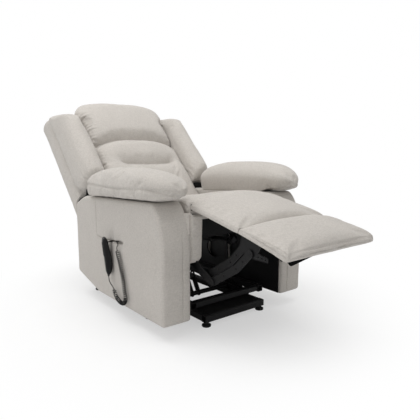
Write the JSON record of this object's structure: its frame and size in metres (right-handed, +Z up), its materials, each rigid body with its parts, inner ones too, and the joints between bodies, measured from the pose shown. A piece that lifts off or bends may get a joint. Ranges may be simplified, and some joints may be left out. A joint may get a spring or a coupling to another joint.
{
  "type": "lift recliner chair",
  "caption": "Powered lift recliner chair with reclining back, swing-out footrest, padded arms and a corded handset, on a raising and tilting steel base.",
  "frame": {"origin": "on the floor under the middle of the arms, midway between them", "axes": "+Z up, the occupant faces -Y, +X is the occupant's left"},
  "size_m": [0.8716, 1.7805, 1.0029],
  "materials": {
    "fabric": "brushed microfibre",
    "side_fabric": "brushed microfibre",
    "lining": "black non-woven lining",
    "black_steel": "black powder coat",
    "bright_steel": "bright drawn",
    "black_plastic": "satin",
    "key_plastic": "satin",
    "wood": "bare plywood",
    "cord": "satin"
  },
  "bodies": {
    "base": {"base_rail_left": "black_steel", "base_rail_right": "black_steel", "base_front_bar": "black_steel", "base_rear_bar": "black_steel", "base_middle_bar": "black_steel", "base_cover_plate": "black_steel"},
    "lift_rear_links": {"lift_link_rear_left": "black_steel", "lift_link_rear_right": "black_steel", "lift_torque_tube": "black_steel"},
    "lift_front_links": {"lift_link_front_left": "black_steel", "lift_link_front_right": "black_steel"},
    "lift_actuator_body": {"lift_actuator_body": "black_plastic"},
    "lift_actuator_rod": {"lift_actuator_rod": "bright_steel"},
    "chair": {"mechanism_side_left": "black_steel", "mechanism_side_right": "black_steel", "chair_cross_tube_front": "black_steel", "chair_cross_tube_rear": "black_steel", "arm_body_left": "side_fabric", "arm_body_right": "side_fabric", "arm_lining_left": "lining", "arm_lining_right": "lining", "arm_pad_left": "fabric", "arm_pad_right": "fabric", "pocket_panel": "side_fabric", "gusset_left": "fabric", "gusset_right": "fabric", "handset_housing": "black_plastic", "cord_lower": "cord", "curly_cord": "cord", "cord_upper": "cord"},
    "carriage": {"seat_rail_left": "black_steel", "seat_rail_right": "black_steel", "seat_front_rail": "wood", "seat_rear_rail": "wood", "seat_spring_mat": "bright_steel", "seat_cushion": "fabric"},
    "recline_actuator_body": {"recline_actuator_body": "black_plastic"},
    "recline_actuator_rod": {"recline_actuator_rod": "bright_steel"},
    "footrest_rear_links": {"footrest_rear_link_left": "black_steel", "footrest_rear_link_right": "black_steel", "footrest_torque_tube": "black_steel"},
    "footrest_lower_links": {"footrest_lower_link_left": "black_steel", "footrest_lower_link_right": "black_steel"},
    "footrest_upper_links": {"footrest_upper_link_left": "black_steel", "footrest_upper_link_right": "black_steel"},
    "footrest": {"footrest_board": "black_steel", "footrest_pad": "fabric", "chaise_pad": "fabric"},
    "back": {"back_frame_left": "black_steel", "back_frame_right": "black_steel", "back_top_rail": "wood", "back_bottom_rail": "wood", "back_panel": "side_fabric", "back_cushion": "fabric", "back_wing_left": "fabric", "back_wing_right": "fabric"},
    "button_1": {"handset_button_1": "key_plastic"},
    "button_2": {"handset_button_2": "key_plastic"},
    "button_3": {"handset_button_3": "key_plastic"},
    "button_4": {"handset_button_4": "key_plastic"}
  },
  "joints": [
    {"name": "lift_raise", "type": "hinge", "parent": "base", "child": "lift_rear_links", "pos_m": [0, -0.142, 0.062], "axis": [1, 0, 0], "range_deg": [0, 46]},
    {"name": "chair_tilt", "type": "hinge", "parent": "lift_rear_links", "child": "chair", "pos_m": [0, 0.261, 0.084], "axis": [1, 0, 0], "range_deg": [-24, 0.5]},
    {"name": "lift_front_swing", "type": "hinge", "parent": "base", "child": "lift_front_links", "pos_m": [0, -0.268, 0.055], "axis": [1, 0, 0], "range_deg": [-0.5, 57]},
    {"name": "lift_actuator_swing", "type": "hinge", "parent": "base", "child": "lift_actuator_body", "pos_m": [-0.045, 0.345, 0.07], "axis": [1, 0, 0], "range_deg": [-1, 1]},
    {"name": "lift_actuator_stroke", "type": "slide", "parent": "lift_actuator_body", "child": "lift_actuator_rod", "axis": [0, -0.9877, 0.1563], "range_m": [-0.001, 0.073]},
    {"name": "seat_slide", "type": "slide", "parent": "chair", "child": "carriage", "axis": [0, 1, 0], "range_m": [-0.001, 0.0765]},
    {"name": "back_recline", "type": "hinge", "parent": "carriage", "child": "back", "pos_m": [0, 0.23, 0.44], "axis": [1, 0, 0], "range_deg": [0, 28]},
    {"name": "footrest_swing", "type": "hinge", "parent": "carriage", "child": "footrest_rear_links", "pos_m": [0, -0.24, 0.372], "axis": [1, 0, 0], "range_deg": [0, 74.4], "deforming": ["gusset_left", "gusset_right", "chaise_pad"]},
    {"name": "footrest_knee_lower", "type": "hinge", "parent": "footrest_rear_links", "child": "footrest_lower_links", "pos_m": [0, -0.4975, 0.2386], "axis": [1, 0, 0], "range_deg": [-95.5, 0.5]},
    {"name": "footrest_knee_upper", "type": "hinge", "parent": "footrest_rear_links", "child": "footrest_upper_links", "pos_m": [0, -0.4525, 0.2526], "axis": [1, 0, 0], "range_deg": [-95.5, 0.5]},
    {"name": "footrest_tilt", "type": "hinge", "parent": "footrest_lower_links", "child": "footrest", "pos_m": [0, -0.7, 0.388], "axis": [1, 0, 0], "range_deg": [-0.5, 95.5]},
    {"name": "recline_actuator_swing", "type": "hinge", "parent": "carriage", "child": "recline_actuator_body", "pos_m": [0.062, 0.17, 0.3], "axis": [1, 0, 0], "range_deg": [-1, 3]},
    {"name": "recline_actuator_stroke", "type": "slide", "parent": "recline_actuator_body", "child": "recline_actuator_rod", "axis": [0, -0.9978, 0.0668], "range_m": [-0.076, 0.001]},
    {"name": "button_1_press", "type": "slide", "parent": "chair", "child": "button_1", "axis": [0.9432, -0.3248, 0.0698], "range_m": [0, 0.001], "stiffness_N_per_m": 400, "springref_m": -0.001},
    {"name": "button_2_press", "type": "slide", "parent": "chair", "child": "button_2", "axis": [0.9432, -0.3248, 0.0698], "range_m": [0, 0.001], "stiffness_N_per_m": 400, "springref_m": -0.001},
    {"name": "button_3_press", "type": "slide", "parent": "chair", "child": "button_3", "axis": [0.9432, -0.3248, 0.0698], "range_m": [0, 0.001], "stiffness_N_per_m": 400, "springref_m": -0.001},
    {"name": "button_4_press", "type": "slide", "parent": "chair", "child": "button_4", "axis": [0.9432, -0.3248, 0.0698], "range_m": [0, 0.001], "stiffness_N_per_m": 400, "springref_m": -0.001}
  ],
  "couplings": [
    {"joint": "chair_tilt", "follows": "lift_raise", "ratio": -0.506},
    {"joint": "lift_front_swing", "follows": "lift_raise", "ratio": 1.221},
    {"joint": "lift_actuator_swing", "follows": "lift_raise", "ratio": -0.0059},
    {"joint": "lift_actuator_stroke", "follows": "lift_raise", "m_per_rad": 0.08918},
    {"joint": "seat_slide", "follows": "back_recline", "m_per_rad": 0.1535},
    {"joint": "footrest_knee_lower", "follows": "footrest_swing", "ratio": -1.2755},
    {"joint": "footrest_knee_upper", "follows": "footrest_swing", "ratio": -1.2755},
    {"joint": "footrest_tilt", "follows": "footrest_swing", "ratio": 1.2755},
    {"joint": "recline_actuator_swing", "follows": "footrest_swing", "ratio": 0.027},
    {"joint": "recline_actuator_stroke", "follows": "footrest_swing", "m_per_rad": -0.05756}
  ]
}
